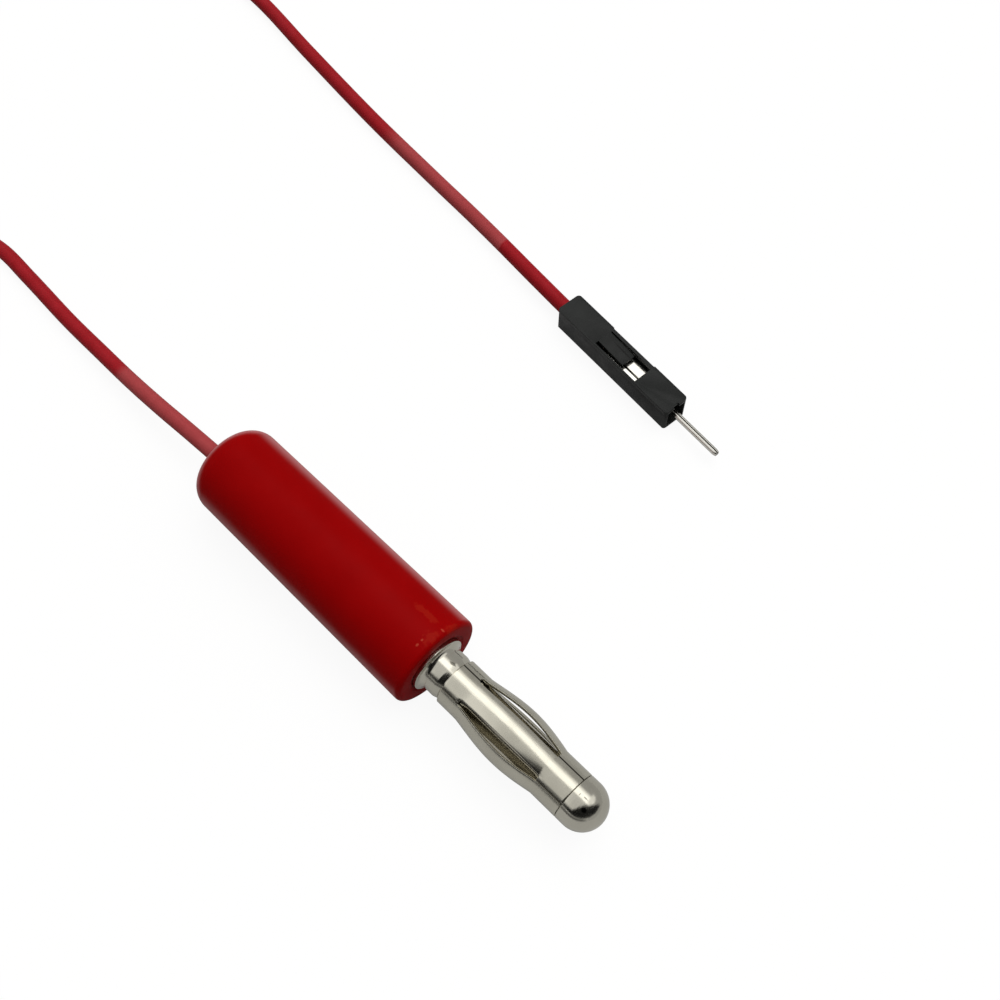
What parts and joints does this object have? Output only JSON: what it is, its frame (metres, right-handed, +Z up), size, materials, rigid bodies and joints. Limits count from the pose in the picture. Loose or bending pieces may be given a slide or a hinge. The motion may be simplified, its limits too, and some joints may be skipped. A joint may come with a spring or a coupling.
{
  "type": "banana plug test lead",
  "caption": "Test lead: a 4 mm banana plug with a turning leaf-spring cage on a thin red wire, with a pin contact in a black 2.54 mm housing at the far end and the spare wire coiled.",
  "frame": {"origin": "on the table, straight under the middle of the plug's length", "axes": "+X along the plug's axis towards its tip, +Y from the plug towards the pin housing, +Z up"},
  "size_m": [0.111, 0.0487, 0.008],
  "materials": {
    "sleeve_plastic": "deep red moulded plastic with a soft sheen",
    "nickel_plate": "turned brass, nickel plated and bright",
    "spring_plate": "rolled spring bronze sheet, nickel plated",
    "solder": "dull solder",
    "copper_strands": "bare stranded copper",
    "wire_insulation": "thin red insulation, slightly chalky in places",
    "tie_plastic": "black covered wire tie",
    "housing_plastic": "satin black moulded plastic",
    "tin_plate": "stamped bronze sheet, bright tin plate"
  },
  "bodies": {
    "lead": {"plug_sleeve": "sleeve_plastic", "plug_body": "nickel_plate", "solder_fillet": "solder", "conductor_plug_end": "copper_strands", "wire_plug_side": "wire_insulation", "wire_coil": "wire_insulation", "coil_tie": "tie_plastic", "wire_pin_side": "wire_insulation", "pin_housing": "housing_plastic", "pin_contact": "tin_plate", "conductor_pin_end": "copper_strands"},
    "cage": {"spring_cage": "spring_plate"}
  },
  "joints": [
    {"name": "cage_spin", "type": "hinge", "parent": "lead", "child": "cage", "pos_m": [0, 0, 0.004], "axis": [1, 0, 0], "continuous": true}
  ]
}
